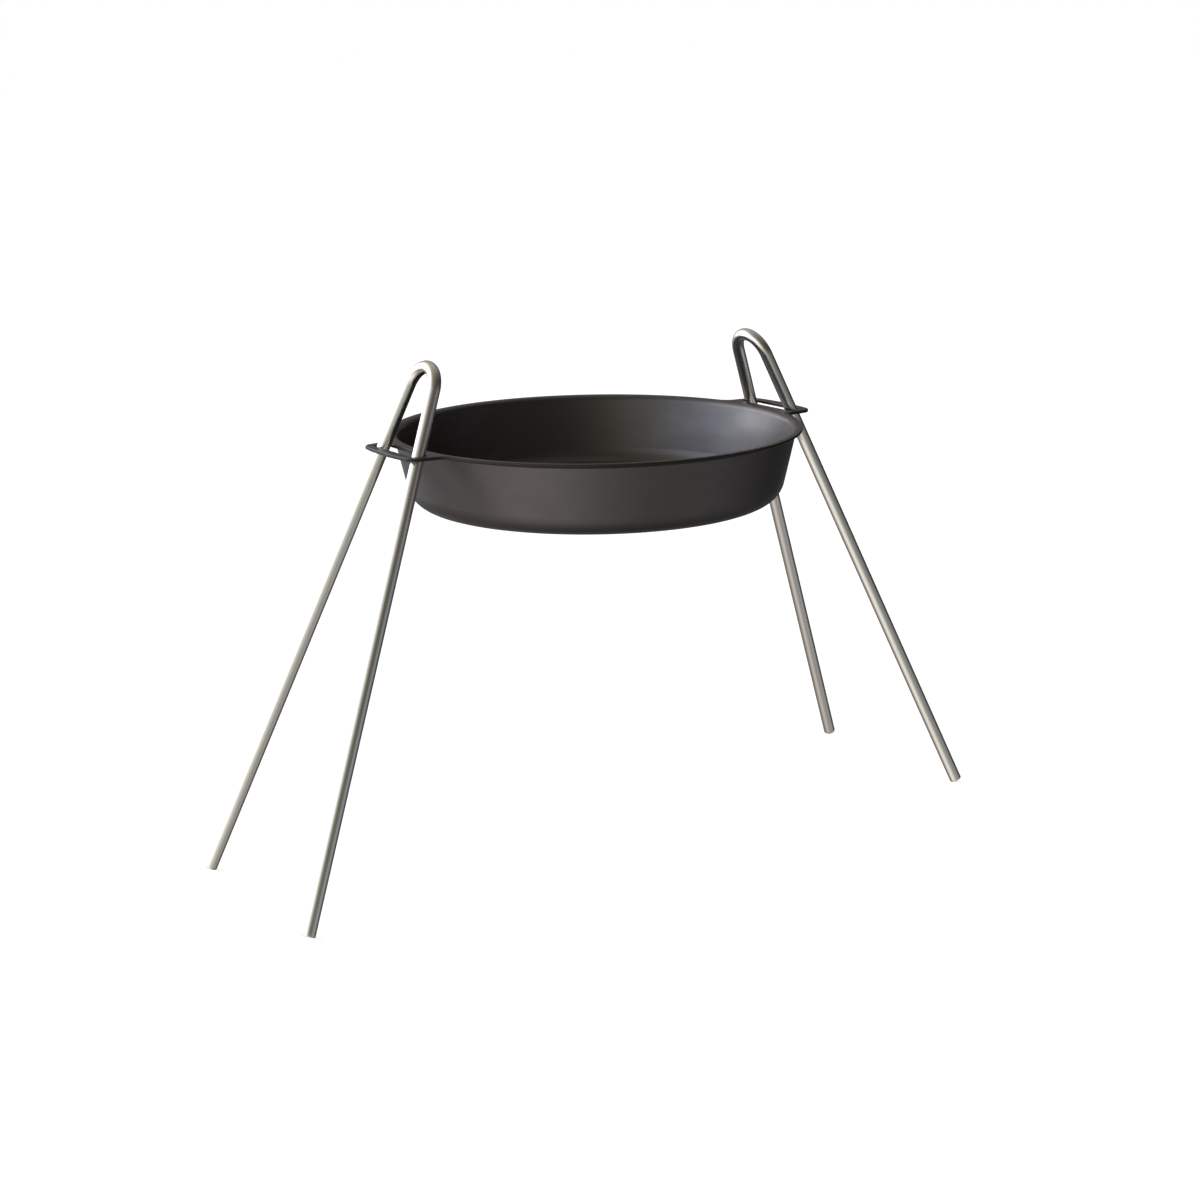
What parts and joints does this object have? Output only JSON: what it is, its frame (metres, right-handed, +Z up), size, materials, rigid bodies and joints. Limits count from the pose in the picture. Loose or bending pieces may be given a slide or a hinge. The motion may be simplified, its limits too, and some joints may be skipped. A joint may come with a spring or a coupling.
{
  "type": "fire pan on rod legs",
  "caption": "Round pressed-steel fire pan with slotted ears, held up by bent-rod V legs whose tops form carrying loops and which slide out for packing.",
  "frame": {"origin": "on the ground below the centre of the pan", "axes": "+Z up, +X through the two ears towards the right leg, -Y towards the viewer of the front"},
  "size_m": [0.7482, 0.39, 0.4729],
  "materials": {
    "pan_steel": "satin, dark heat-resistant coating on pressed sheet steel",
    "leg_steel": "brushed along the rod"
  },
  "bodies": {
    "pan": {"fire_pan": "pan_steel"},
    "left_leg": {"left_leg": "leg_steel"},
    "right_leg": {"right_leg": "leg_steel"}
  },
  "joints": [
    {"name": "left_leg_slide", "type": "slide", "parent": "pan", "child": "left_leg", "axis": [-0.3811, 0, -0.9245], "range_m": [0, 0.11]},
    {"name": "right_leg_slide", "type": "slide", "parent": "pan", "child": "right_leg", "axis": [0.3811, 0, -0.9245], "range_m": [0, 0.11]}
  ]
}
